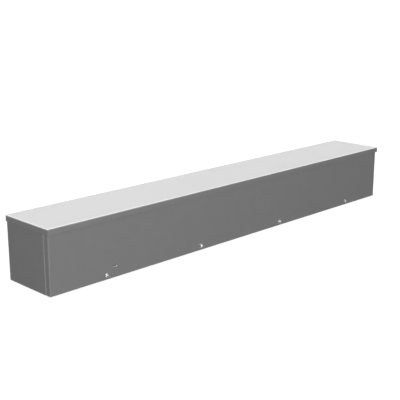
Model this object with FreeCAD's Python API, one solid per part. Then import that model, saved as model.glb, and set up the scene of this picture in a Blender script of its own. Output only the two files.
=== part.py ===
import FreeCAD, Part
import math
import os

Vector = FreeCAD.Vector

# Overall sizes in millimetres.
# X runs along the trough, -Y faces the cover, +Z is up.
# The origin is the middle of the underside.
trough_length = 1219.2
trough_height = 152.4
trough_depth = 153.9

# Sheet steel, 16 gauge, and its bends.
sheet = 1.5
inside_bend = 1.0
outside_bend = inside_bend + sheet

# Lips around the open front of the trough.
lip_height = 38.0
end_lip_width = 16.0

# The end plates step inward near the front, so that the cover flange lies almost flush.
joggle_depth = 2.4
joggle_behind_flange = 2.0

# Gap between the lips of the end plates and those of the trough.
lip_gap = 0.3

# Slip-on cover.
cover_side_clearance = 1.2
cover_flange = 13.9
cover_bottom = 0.8
cover_top_gap = 0.8

# Drip shield over the top.
skirt_height = 14.5
skirt_front_gap = 2.2
skirt_end_gap = 0.1

# Cover screws: quarter inch, slotted hex washer head.
screw_count = 4
screw_from_end = 152.4
screw_height = 10.0
screw_radius = 3.1
screw_length = 15.0
screw_washer_radius = 6.1
screw_washer_thickness = 1.2
screw_across_flats = 9.5
screw_head_height = 4.8
slot_width = 1.7
slot_depth = 2.4
slot_angle = 45.0
thread_clearance = 0.1
tapped_collar = 4.0
cover_hole_clearance = 0.5

# Half-moon pressing in the cover, deepest at its lower edge, and the notch behind it.
pressing_from_end = 179.9
pressing_above_bottom = 34.2
pressing_radius = 9.4
pressing_height = 8.0
pressing_depth = 1.5
notch_clearance = 1.0

# Mounting holes, pressed out of the back so that the trough stands clear of the wall.
mount_from_end = 76.2
mount_from_edge = 25.4
mount_hole_radius = 4.0
pad_height = 3.0
pad_radius = 11.0
pad_base_radius = 15.0

# Places that follow from the sizes.
end_x = trough_length / 2
back_y = trough_depth / 2
lip_y = -trough_depth / 2
cover_y = lip_y - sheet
flange_end_y = cover_y + cover_flange
joggle_start_y = flange_end_y + joggle_behind_flange
joggle_end_y = joggle_start_y + joggle_depth
flange_x = end_x - joggle_depth + cover_side_clearance + sheet
skirt_x = max(flange_x, end_x + inside_bend) + skirt_end_gap + sheet
skirt_y = cover_y - skirt_front_gap - sheet
tapped_radius = screw_radius + thread_clearance
cover_hole_radius = screw_radius + cover_hole_clearance
pressing_back_radius = pressing_radius + sheet * math.tan(math.pi / 8)


def on_yz(u, v):
    return Vector(0, u, v)


def on_xy(u, v):
    return Vector(u, v, 0)


def crossing(p, d, q, e):
    """Point where the line through p along d meets the line through q along e."""
    scale = ((q[0] - p[0]) * e[1] - (q[1] - p[1]) * e[0]) / (d[0] * e[1] - d[1] * e[0])
    return (p[0] + d[0] * scale, p[1] + d[1] * scale)


def shifted_path(path, shift):
    """The path moved sideways by shift, to the left of its direction when shift is positive."""
    directions = []
    for (u0, v0), (u1, v1) in zip(path, path[1:]):
        length = math.hypot(u1 - u0, v1 - v0)
        directions.append(((u1 - u0) / length, (v1 - v0) / length))
    starts = []
    for (u, v), (du, dv) in zip(path, directions):
        starts.append((u - dv * shift, v + du * shift))
    last_du, last_dv = directions[-1]
    points = [starts[0]]
    for i in range(1, len(directions)):
        points.append(crossing(starts[i - 1], directions[i - 1], starts[i], directions[i]))
    points.append((path[-1][0] - last_dv * shift, path[-1][1] + last_du * shift))
    return points


def left_turn(path, i):
    (u0, v0), (u1, v1), (u2, v2) = path[i - 1:i + 2]
    return (u1 - u0) * (v2 - v1) - (v1 - v0) * (u2 - u1) > 0


def rounded_edges(points, radii, to_space):
    """Edges along the points, with an arc of the given radius at each inner point."""
    places = [to_space(*point) for point in points]
    edges = []
    start = places[0]
    for i in range(1, len(places) - 1):
        corner = places[i]
        before = (places[i - 1] - corner).normalize()
        after = (places[i + 1] - corner).normalize()
        half = before.getAngle(after) / 2
        reach = radii[i - 1] / math.tan(half)
        depth = radii[i - 1] / math.sin(half) - radii[i - 1]
        first = corner + before * reach
        middle = corner + (before + after).normalize() * depth
        second = corner + after * reach
        edges.append(Part.makeLine(start, first))
        edges.append(Part.Arc(first, middle, second).toShape())
        start = second
    edges.append(Part.makeLine(start, places[-1]))
    return edges


def bent_section(path, to_space):
    """Face of a sheet that is bent along path, its centre line."""
    left_radii = []
    right_radii = []
    for i in range(1, len(path) - 1):
        inside_is_left = left_turn(path, i)
        left_radii.append(inside_bend if inside_is_left else outside_bend)
        right_radii.append(outside_bend if inside_is_left else inside_bend)
    left = shifted_path(path, sheet / 2)
    right = shifted_path(path, -sheet / 2)
    edges = rounded_edges(left, left_radii, to_space)
    edges += rounded_edges(right, right_radii, to_space)
    edges.append(Part.makeLine(to_space(*left[0]), to_space(*right[0])))
    edges.append(Part.makeLine(to_space(*left[-1]), to_space(*right[-1])))
    return Part.Face(Part.Wire(Part.__sortEdges__(edges)))


def round_bar(radius, length, base):
    return Part.makeCylinder(radius, length, base, Vector(0, 1, 0))


def cone(base_radius, top_radius, height, base):
    """Frustum that rises along +Y from base."""
    return Part.makeCone(base_radius, top_radius, height, base, Vector(0, 1, 0))


def screw_places(y):
    first = screw_from_end - end_x
    pitch = -2 * first / (screw_count - 1)
    return [Vector(first + i * pitch, y, screw_height) for i in range(screw_count)]


def pressing_centre(y):
    return Vector(pressing_from_end - end_x, y, pressing_above_bottom)


def half_moon(y, radius):
    """A recess from y inward: its wall is a 45 degree cone and its floor rises to nothing at the top."""
    centre = pressing_centre(y)
    bowl = cone(radius, radius - pressing_depth, pressing_depth, centre)
    upper = centre + Vector(-radius, 0, pressing_height - pressing_radius)
    lower = upper - Vector(0, 0, 2 * pressing_height)
    deepest = lower + Vector(0, 2 * pressing_depth, 0)
    wedge = Part.Face(Part.makePolygon([upper, lower, deepest, upper])).extrude(Vector(2 * radius, 0, 0))
    return bowl.common(wedge)


def make_trough_channel():
    lip_middle = lip_y + sheet / 2
    back_middle = back_y - sheet / 2
    top_middle = trough_height - sheet / 2
    path = [
        (lip_middle, lip_height),
        (lip_middle, sheet / 2),
        (back_middle, sheet / 2),
        (back_middle, top_middle),
        (lip_middle, top_middle),
        (lip_middle, trough_height - lip_height),
    ]
    section = bent_section(path, on_yz)
    inner_length = trough_length - 2 * sheet
    channel = section.extrude(Vector(inner_length, 0, 0))
    channel.translate(Vector(-inner_length / 2, 0, 0))

    # The front corners are notched for the inward step of the end plates.
    notch_depth = joggle_end_y + outside_bend - lip_y
    for end in (-inner_length / 2, inner_length / 2 - joggle_depth):
        notch = Part.makeBox(joggle_depth, notch_depth, trough_height, Vector(end, lip_y, 0))
        channel = channel.cut(notch)

    # Drawn and tapped screw holes in the bottom lip.
    for place in screw_places(lip_y):
        channel = channel.fuse(round_bar(tapped_radius + sheet, tapped_collar, place))
        channel = channel.cut(round_bar(tapped_radius, tapped_collar, place))

    # The bottom lip is notched behind the pressing of the cover.
    notch_radius = pressing_back_radius + notch_clearance
    notch = round_bar(notch_radius, sheet, pressing_centre(lip_y))
    corner = pressing_centre(lip_y) - Vector(notch_radius, 0, 0)
    notch = notch.fuse(Part.makeBox(2 * notch_radius, sheet, lip_height, corner))
    channel = channel.cut(notch)

    # Mounting holes in conical pads of even thickness.
    wall_angle = math.atan2(pad_height, pad_base_radius - pad_radius)
    inward = sheet * math.tan(wall_angle / 2)
    for x in (mount_from_end - end_x, end_x - mount_from_end):
        for z in (mount_from_edge, trough_height - mount_from_edge):
            place = Vector(x, back_y, z)
            behind = place - Vector(0, sheet, 0)
            channel = channel.fuse(cone(pad_base_radius, pad_radius, pad_height, place))
            channel = channel.cut(cone(pad_base_radius - inward, pad_radius - inward, pad_height, behind))
            channel = channel.cut(round_bar(mount_hole_radius, pad_height, place))
    return channel.removeSplitter()


def make_left_end_plate():
    plate_x = -end_x + sheet / 2
    step_x = plate_x + joggle_depth
    lip_middle = lip_y + sheet / 2
    plain = [(step_x, lip_y + sheet), (step_x, joggle_start_y), (plate_x, joggle_end_y), (plate_x, back_y)]
    plate = bent_section(plain, on_xy).extrude(Vector(0, 0, trough_height))

    # Between the channel lips the front edge turns inward.
    turned = [(step_x + end_lip_width, lip_middle), (step_x, lip_middle)] + plain[1:]
    lip_span = trough_height - 2 * lip_height - 2 * lip_gap
    lipped = bent_section(turned, on_xy).extrude(Vector(0, 0, lip_span))
    lipped.translate(Vector(0, 0, lip_height + lip_gap))
    plate = plate.fuse(lipped)

    # The corners follow the bends of the channel.
    outline = Part.makeBox(4 * end_lip_width, trough_depth, trough_height, Vector(-end_x, lip_y, 0))
    long_edges = [edge for edge in outline.Edges if abs(edge.BoundBox.XLength) > end_lip_width]
    outline = outline.makeFillet(outside_bend, long_edges)
    return plate.common(outline).removeSplitter()


def make_drip_shield():
    top_z = trough_height + sheet
    hood = Part.makeBox(
        2 * skirt_x, back_y - skirt_y, skirt_height, Vector(-skirt_x, skirt_y, top_z - skirt_height)
    )
    bends = []
    for edge in hood.Edges:
        middle = edge.CenterOfMass
        on_top = abs(middle.z - top_z) < 0.01
        at_back = abs(middle.y - back_y) < 0.01
        if on_top and not at_back:
            bends.append(edge)
    hood = hood.makeFillet(outside_bend, bends)
    open_faces = []
    for face in hood.Faces:
        normal = face.normalAt(0, 0)
        if normal.z < -0.99 or normal.y > 0.99:
            open_faces.append(face)
    return hood.makeThickness(open_faces, -sheet, 0.001)


def make_front_cover():
    flange_middle = flange_x - sheet / 2
    face_middle = cover_y + sheet / 2
    path = [
        (-flange_middle, flange_end_y),
        (-flange_middle, face_middle),
        (flange_middle, face_middle),
        (flange_middle, flange_end_y),
    ]
    height = trough_height - cover_top_gap - cover_bottom
    cover = bent_section(path, on_xy).extrude(Vector(0, 0, height))
    cover.translate(Vector(0, 0, cover_bottom))
    for place in screw_places(cover_y):
        cover = cover.cut(round_bar(cover_hole_radius, sheet, place))
    cover = cover.fuse(half_moon(cover_y + sheet, pressing_back_radius))
    return cover.cut(half_moon(cover_y, pressing_radius)).removeSplitter()


def make_screw():
    """Screw along +Y with the seat of its head at the origin."""
    corner = screw_across_flats / math.sqrt(3)
    hexagon = []
    for i in range(7):
        angle = math.radians(60 * i)
        hexagon.append(Vector(corner * math.cos(angle), 0, corner * math.sin(angle)))
    head = Part.Face(Part.makePolygon(hexagon)).extrude(Vector(0, -screw_head_height, 0))
    washer = Part.makeCone(
        screw_washer_radius,
        screw_washer_radius - screw_washer_thickness,
        screw_washer_thickness,
        Vector(0, 0, 0),
        Vector(0, -1, 0),
    )
    shank = round_bar(screw_radius, screw_length, Vector(0, 0, 0))
    tip = [edge for edge in shank.Edges if edge.CenterOfMass.y > screw_length - 0.01]
    shank = shank.makeChamfer(0.8, tip)
    slot = Part.makeBox(
        slot_width,
        slot_depth,
        4 * corner,
        Vector(-slot_width / 2, -screw_head_height, -2 * corner),
    )
    slot.rotate(Vector(0, 0, 0), Vector(0, 1, 0), slot_angle)
    return head.fuse([washer, shank]).cut(slot).removeSplitter()


parts = {
    "trough_channel": make_trough_channel(),
    "end_plate_left": make_left_end_plate(),
    "drip_shield": make_drip_shield(),
    "front_cover": make_front_cover(),
}
parts["end_plate_right"] = parts["end_plate_left"].mirror(Vector(0, 0, 0), Vector(1, 0, 0))
screw = make_screw()
for number, place in enumerate(screw_places(cover_y), start=1):
    turned_screw = screw.copy()
    turned_screw.translate(place)
    parts["cover_screw_%d" % number] = turned_screw

os.makedirs("parts", exist_ok=True)
for name, shape in parts.items():
    shape.exportStep("parts/%s.step" % name)
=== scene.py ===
import math

import bmesh
import bpy
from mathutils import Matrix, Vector


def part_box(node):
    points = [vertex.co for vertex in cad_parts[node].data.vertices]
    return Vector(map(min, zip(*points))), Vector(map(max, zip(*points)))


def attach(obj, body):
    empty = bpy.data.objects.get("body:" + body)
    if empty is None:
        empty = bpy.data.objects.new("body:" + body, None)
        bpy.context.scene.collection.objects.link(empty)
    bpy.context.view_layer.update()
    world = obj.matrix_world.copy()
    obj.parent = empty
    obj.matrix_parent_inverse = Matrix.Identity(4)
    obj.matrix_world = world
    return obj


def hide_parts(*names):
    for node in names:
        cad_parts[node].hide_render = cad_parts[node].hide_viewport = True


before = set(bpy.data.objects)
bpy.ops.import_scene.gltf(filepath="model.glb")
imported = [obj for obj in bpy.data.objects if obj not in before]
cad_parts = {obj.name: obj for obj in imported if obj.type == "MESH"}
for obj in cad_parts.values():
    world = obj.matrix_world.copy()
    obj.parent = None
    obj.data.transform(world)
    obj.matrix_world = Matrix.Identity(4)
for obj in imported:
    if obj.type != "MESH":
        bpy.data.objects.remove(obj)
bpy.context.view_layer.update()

TROUGH_NODES = ("trough_channel", "end_plate_left", "end_plate_right", "front_cover")
SHIELD_NODE = "drip_shield"
COVER_NODE = "front_cover"
SCREW_NODES = ("cover_screw_1", "cover_screw_2", "cover_screw_3", "cover_screw_4")

# In the materials a noise is given by scale and detail, and a bump by strength and height in metres.
# The noise values that matter lie in the noise span. They are stretched over a material's tones, which
# are shares of its grey, and over its roughness.
NOISE_SPAN = (0.25, 0.75)

# Satin powder coat. In the photograph the shield's skirt is a shade lighter than the cover below it.
TROUGH_GREY = 0.34
# Painted light: the shield gets a lighter copy of the trough's paint, standing in for more light on its
# skirt.
SHIELD_GREY_PAINTED_LIGHTER = 0.355
PAINT_SPECULAR = 0.15
PAINT_TONES = (0.98, 1.02)
PAINT_ROUGHNESS = (0.42, 0.50)
MOTTLE_NOISE = (35.0, 4.0)
PEEL_NOISE = (700.0, 2.0)
PEEL_BUMP = (0.06, 0.0002)

# A painted highlight: the paint's colour is made lighter on the bends of the top. The bends are found by
# the upward part of the surface's normal, which is 0 on the upright sides and 1 on the flat top.
BEND_HIGHLIGHT_GAIN = 1.7
BEND_HIGHLIGHT_BEGINS = (0.82, 0.92)
BEND_HIGHLIGHT_ENDS = (0.99, 0.9999)

# Zinc plate of the screws.
ZINC_GREY = 0.60
ZINC_METALLIC = 0.8
ZINC_TONES = (0.9, 1.1)
ZINC_ROUGHNESS = (0.50, 0.62)
CLOUD_NOISE = (400.0, 3.0)
GRAIN_NOISE = (2500.0, 2.0)
GRAIN_BUMP = (0.08, 0.0001)

# Slotted hex washer head screw, in metres, measured outward from its seat on the cover.
SCREW_SIDES = 48
SHANK_LENGTH = 0.0150
TIP_RADIUS = 0.0020
TIP_LENGTH = 0.0006
THREAD_LENGTH = 0.0138
THREAD_RADIUS = 0.0031
THREAD_PITCH = 0.00127
THREAD_DEPTH = 0.00075
RINGS_PER_THREAD = 6
NECK_RADIUS = 0.0028
NECK_LENGTH = 0.0004
SEAT_INNER_RADIUS = 0.0030
WASHER_RADIUS = 0.0061
WASHER_THICKNESS = 0.0010
WASHER_EDGE = 0.0002
HEX_HALF_FLATS = 0.00475
HEX_CORNER_RADIUS = 0.0053
HEX_FOOT = 0.0013
HEX_FILLET = 0.0001
HEX_CHAMFER = math.radians(30)
HEAD_HEIGHT = 0.0048
CROWN_RADIUS = 0.0045
CROWN_RISE = 0.0006
CROWN_RINGS = 5
SLOT_WIDTH = 0.0017
SLOT_DEPTH = 0.0024
SLOT_ANGLES = (45, 41, 48, 44)
SAW_LENGTH = 0.02
SHARP_EDGE = math.radians(28)

# The floor glows, so that it is as white as the backdrop.
WHITE = (1, 1, 1, 1)
FLOOR_SIZE = 60
FLOOR_GREY = (0.12, 0.12, 0.12, 1.0)
FLOOR_ROUGHNESS = 0.9
FLOOR_GLOW = 0.85
BACKDROP_GLOW = 1.04
AMBIENT_LIGHT = 0.06

# Each area light is given by name, place, target, size in metres and power in watts.
OVERHEAD_STRENGTH = 5.17
OVERHEAD_ANGLE = math.radians(2)
MIDDLE = (0, 0, 0.08)
FILLS = (
    ("front_left_fill", (-5.2, -6.15, 2.75), MIDDLE, (2.0, 2.0), 429),
    ("back_right_fill", (3.0, 4.6, 2.4), MIDDLE, (2.0, 2.0), 200),
    ("top_right_fill", (0.9, 0.2, 1.6), (0.6, 0, 0.15), (0.6, 0.6), 3.2),
)
LOW_PANEL = ("low_front_panel", (0.9, -4.1, 0.5), MIDDLE, (2.0, 1.0), 65)
COVER_PANEL = ("cover_panel", (0.2, -1.3, 2.0), (-0.43, 0, 0.03), (3.0, 0.9), 235)
SCREW_PANEL = ("screw_panel", (0.4, -3.0, 0.25), (0, 0, 0.02), (2.0, 0.4), 44)

# The photograph is a 45 degree view from 15 degrees above, with a long lens.
PHOTO_WIDTH_PX = 400
FOCAL_LENGTH_PX = 842.6
SENSOR_WIDTH_MM = 36.0
CAMERA_PLACE = (-1.5780, -1.49995, 0.6717)
CAMERA_YAW = math.radians(-44.996)
CAMERA_ELEVATION = math.radians(15.059)
CAMERA_REACH = 100


def new_material(name):
    material = bpy.data.materials.new(name)
    material.use_nodes = True
    nodes = material.node_tree.nodes
    return material, nodes, material.node_tree.links, nodes["Principled BSDF"]


def add_noise(nodes, links, scale, detail):
    place = nodes.new("ShaderNodeTexCoord")
    noise = nodes.new("ShaderNodeTexNoise")
    noise.inputs["Scale"].default_value = scale
    noise.inputs["Detail"].default_value = detail
    links.new(place.outputs["Object"], noise.inputs["Vector"])
    return noise.outputs["Fac"]


def stretch(nodes, links, value, span, low, high):
    """The value, changed so that the span runs from low to high."""
    node = nodes.new("ShaderNodeMapRange")
    node.inputs["From Min"].default_value = span[0]
    node.inputs["From Max"].default_value = span[1]
    node.inputs["To Min"].default_value = low
    node.inputs["To Max"].default_value = high
    links.new(value, node.inputs["Value"])
    return node.outputs["Result"]


def multiply(nodes, links, first, second):
    node = nodes.new("ShaderNodeMath")
    node.operation = "MULTIPLY"
    links.new(first, node.inputs[0])
    links.new(second, node.inputs[1])
    return node.outputs["Value"]


def add_painted_bend_highlight(nodes, links):
    """Painted highlight: one on flat faces, and BEND_HIGHLIGHT_GAIN on the bends of the top."""
    place = nodes.new("ShaderNodeTexCoord")
    split = nodes.new("ShaderNodeSeparateXYZ")
    links.new(place.outputs["Normal"], split.inputs["Vector"])
    upward = split.outputs["Z"]
    onto_highlight = stretch(nodes, links, upward, BEND_HIGHLIGHT_BEGINS, 1.0, BEND_HIGHLIGHT_GAIN)
    off_highlight = stretch(nodes, links, upward, BEND_HIGHLIGHT_ENDS, 1.0, 1.0 / BEND_HIGHLIGHT_GAIN)
    return multiply(nodes, links, onto_highlight, off_highlight)


def add_bump(nodes, links, shader, height, strength, distance):
    bump = nodes.new("ShaderNodeBump")
    bump.inputs["Strength"].default_value = strength
    bump.inputs["Distance"].default_value = distance
    links.new(height, bump.inputs["Height"])
    links.new(bump.outputs["Normal"], shader.inputs["Normal"])


def make_paint(name, grey):
    """Powder coat with a fine orange peel, faint mottling of colour and gloss, and a painted highlight
    on the top's bends.
    """
    material, nodes, links, shader = new_material(name)
    shader.inputs["Specular IOR Level"].default_value = PAINT_SPECULAR
    mottle = add_noise(nodes, links, *MOTTLE_NOISE)
    tone = stretch(nodes, links, mottle, NOISE_SPAN, grey * PAINT_TONES[0], grey * PAINT_TONES[1])
    # Painted highlight: the colour is made lighter on the bends of the top.
    tone = multiply(nodes, links, tone, add_painted_bend_highlight(nodes, links))
    links.new(tone, shader.inputs["Base Color"])
    roughness = stretch(nodes, links, mottle, NOISE_SPAN, *PAINT_ROUGHNESS)
    links.new(roughness, shader.inputs["Roughness"])
    peel = add_noise(nodes, links, *PEEL_NOISE)
    add_bump(nodes, links, shader, peel, *PEEL_BUMP)
    return material


def make_zinc():
    """Zinc plate with faint clouding."""
    material, nodes, links, shader = new_material("bright_zinc_plate")
    shader.inputs["Metallic"].default_value = ZINC_METALLIC
    cloud = add_noise(nodes, links, *CLOUD_NOISE)
    tone = stretch(nodes, links, cloud, NOISE_SPAN, ZINC_GREY * ZINC_TONES[0], ZINC_GREY * ZINC_TONES[1])
    links.new(tone, shader.inputs["Base Color"])
    roughness = stretch(nodes, links, cloud, NOISE_SPAN, *ZINC_ROUGHNESS)
    links.new(roughness, shader.inputs["Roughness"])
    grain = add_noise(nodes, links, *GRAIN_NOISE)
    add_bump(nodes, links, shader, grain, *GRAIN_BUMP)
    return material


def paint_node(name, material):
    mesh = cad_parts[name].data
    mesh.materials.clear()
    mesh.materials.append(material)


def thread_radius(turn, height):
    phase = (height / THREAD_PITCH - turn / (2 * math.pi)) % 1.0
    return THREAD_RADIUS - THREAD_DEPTH * abs(2 * phase - 1)


def hex_radius(turn):
    """Distance from the axis to the side of the hexagon, with its corners taken off."""
    from_flat = turn % (math.pi / 3) - math.pi / 6
    return min(HEX_HALF_FLATS / math.cos(from_flat), HEX_CORNER_RADIUS)


def hex_top(turn):
    """Height at which the side of the hexagon meets the chamfer."""
    return HEAD_HEIGHT - CROWN_RISE - (hex_radius(turn) - CROWN_RADIUS) * math.tan(HEX_CHAMFER)


def shank_profile(turn):
    profile = [(TIP_RADIUS, -SHANK_LENGTH)]
    for ring in range(int(THREAD_LENGTH / THREAD_PITCH * RINGS_PER_THREAD)):
        height = -SHANK_LENGTH + TIP_LENGTH + ring * THREAD_PITCH / RINGS_PER_THREAD
        profile.append((thread_radius(turn, height), height))
    return profile + [(NECK_RADIUS, -NECK_LENGTH)]


def head_profile(turn):
    return [
        (SEAT_INNER_RADIUS, 0.0),
        (WASHER_RADIUS - WASHER_EDGE, 0.0),
        (WASHER_RADIUS, WASHER_EDGE),
        (WASHER_RADIUS, WASHER_THICKNESS - WASHER_EDGE),
        (WASHER_RADIUS - WASHER_EDGE / 2, WASHER_THICKNESS),
        (hex_radius(turn) + HEX_FILLET, HEX_FOOT - HEX_FILLET),
        (hex_radius(turn), HEX_FOOT),
        (hex_radius(turn), hex_top(turn)),
    ]


def crown_profile():
    """The slightly domed end of the head, from the chamfer to its middle."""
    profile = []
    for ring in range(CROWN_RINGS, 0, -1):
        share = ring / CROWN_RINGS
        profile.append((CROWN_RADIUS * share, HEAD_HEIGHT - CROWN_RISE * share * share))
    return profile


def screw_profile(turn):
    """Radius and height of the screw's surface at one turn about its axis, from tip to crown."""
    return shank_profile(turn) + head_profile(turn) + crown_profile()


def add_mesh_object(name, mesh):
    data = bpy.data.meshes.new(name)
    mesh.to_mesh(data)
    mesh.free()
    piece = bpy.data.objects.new(name, data)
    bpy.context.collection.objects.link(piece)
    return piece


def make_screw_body(name):
    """Head and threaded shank, its axis along -Y and its seat at the origin."""
    mesh = bmesh.new()
    columns = []
    for side in range(SCREW_SIDES):
        turn = 2 * math.pi * side / SCREW_SIDES
        column = []
        for radius, height in screw_profile(turn):
            column.append(mesh.verts.new((radius * math.cos(turn), -height, radius * math.sin(turn))))
        columns.append(column)
    for side, column in enumerate(columns):
        beside = columns[(side + 1) % SCREW_SIDES]
        for low in range(len(column) - 1):
            mesh.faces.new((column[low], beside[low], beside[low + 1], column[low + 1]))
    mesh.faces.new([column[0] for column in columns])
    mesh.faces.new([column[-1] for column in columns])
    bmesh.ops.recalc_face_normals(mesh, faces=mesh.faces)
    return add_mesh_object(name, mesh)


def cut_slot(screw, angle):
    """Saws the driver slot across the head."""
    mesh = bmesh.new()
    bmesh.ops.create_cube(mesh, size=1.0)
    bmesh.ops.scale(mesh, vec=(SLOT_WIDTH, 2 * SLOT_DEPTH, SAW_LENGTH), verts=mesh.verts)
    saw = add_mesh_object("saw", mesh)
    saw.location = (0, -HEAD_HEIGHT, 0)
    saw.rotation_euler = (0, math.radians(angle), 0)
    cut = screw.modifiers.new("slot", "BOOLEAN")
    cut.operation = "DIFFERENCE"
    cut.solver = "EXACT"
    cut.object = saw
    bpy.context.view_layer.update()
    depsgraph = bpy.context.evaluated_depsgraph_get()
    slotted = bpy.data.meshes.new_from_object(screw.evaluated_get(depsgraph))
    screw.modifiers.clear()
    screw.data = slotted
    bpy.data.objects.remove(saw)


def make_screw(node, angle, material):
    screw = make_screw_body(node.replace("cover_screw", "hex_washer_screw"))
    cut_slot(screw, angle)
    for face in screw.data.polygons:
        face.use_smooth = True
    screw.data.set_sharp_from_angle(angle=SHARP_EDGE)
    screw.data.materials.append(material)
    low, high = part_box(node)
    seat_y = low.y + HEAD_HEIGHT
    screw.location = ((low.x + high.x) / 2, seat_y, (low.z + high.z) / 2)
    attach(screw, "root")
    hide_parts(node)
    return screw


def make_floor():
    """A glowing floor that throws no light on the object and isn't mirrored in it."""
    bpy.ops.mesh.primitive_plane_add(size=FLOOR_SIZE)
    floor = bpy.context.object
    floor.name = "floor"
    material, nodes, links, shader = new_material("pale_floor")
    shader.inputs["Base Color"].default_value = FLOOR_GREY
    shader.inputs["Roughness"].default_value = FLOOR_ROUGHNESS
    shader.inputs["Emission Color"].default_value = WHITE
    shader.inputs["Emission Strength"].default_value = FLOOR_GLOW
    floor.data.materials.append(material)
    floor.visible_diffuse = False
    floor.visible_glossy = False


def make_backdrop():
    """White where the camera sees it, and a faint light from all sides."""
    world = bpy.data.worlds.new("studio")
    world.use_nodes = True
    nodes = world.node_tree.nodes
    links = world.node_tree.links
    background = nodes["Background"]
    background.inputs["Color"].default_value = WHITE
    seen = nodes.new("ShaderNodeLightPath").outputs["Is Camera Ray"]
    strength = stretch(nodes, links, seen, (0.0, 1.0), AMBIENT_LIGHT, BACKDROP_GLOW)
    links.new(strength, background.inputs["Strength"])
    bpy.context.scene.world = world


def add_area_light(name, place, target, size, power):
    light = bpy.data.lights.new(name, "AREA")
    light.shape = "RECTANGLE"
    light.size, light.size_y = size
    light.energy = power
    lamp = bpy.data.objects.new(name, light)
    bpy.context.collection.objects.link(lamp)
    lamp.location = place
    lamp.rotation_euler = (Vector(target) - Vector(place)).to_track_quat("-Z", "Y").to_euler()
    return lamp


def add_overhead_light():
    """Parallel light from straight above."""
    light = bpy.data.lights.new("overhead", "SUN")
    light.energy = OVERHEAD_STRENGTH
    light.angle = OVERHEAD_ANGLE
    lamp = bpy.data.objects.new("overhead", light)
    bpy.context.collection.objects.link(lamp)
    lamp.visible_glossy = False


def add_fill(light):
    """A light that leaves no reflection."""
    lamp = add_area_light(*light)
    lamp.visible_glossy = False


def add_panel(light):
    """A light that shows only as a reflection."""
    panel = add_area_light(*light)
    panel.visible_diffuse = False
    return panel


def show_only_in(panel, pieces):
    lit = bpy.data.collections.new("lit_by_" + panel.name)
    for piece in pieces:
        lit.objects.link(piece)
    panel.light_linking.receiver_collection = lit


def make_lights(cover, screws):
    add_overhead_light()
    for light in FILLS:
        add_fill(light)
    add_panel(LOW_PANEL)
    show_only_in(add_panel(COVER_PANEL), [cover])
    show_only_in(add_panel(SCREW_PANEL), screws)


def make_camera():
    data = bpy.data.cameras.new("photo_camera")
    data.sensor_width = SENSOR_WIDTH_MM
    data.lens = FOCAL_LENGTH_PX / PHOTO_WIDTH_PX * SENSOR_WIDTH_MM
    data.clip_end = CAMERA_REACH
    camera = bpy.data.objects.new("photo_camera", data)
    bpy.context.collection.objects.link(camera)
    camera.location = CAMERA_PLACE
    camera.rotation_euler = (math.pi / 2 - CAMERA_ELEVATION, 0, CAMERA_YAW)
    scene = bpy.context.scene
    scene.camera = camera
    scene.view_settings.view_transform = "Standard"
    scene.view_settings.look = "None"


trough_paint = make_paint("grey_powder_coat", TROUGH_GREY)
# A lighter copy of the same paint for the shield: painted light on its skirt.
shield_paint_lit_copy = make_paint("shield_powder_coat_painted_lighter", SHIELD_GREY_PAINTED_LIGHTER)
zinc = make_zinc()
for node in TROUGH_NODES:
    paint_node(node, trough_paint)
paint_node(SHIELD_NODE, shield_paint_lit_copy)
screws = []
for node, angle in zip(SCREW_NODES, SLOT_ANGLES):
    paint_node(node, zinc)
    screws.append(make_screw(node, angle, zinc))
make_floor()
make_backdrop()
make_lights(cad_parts[COVER_NODE], screws)
make_camera()
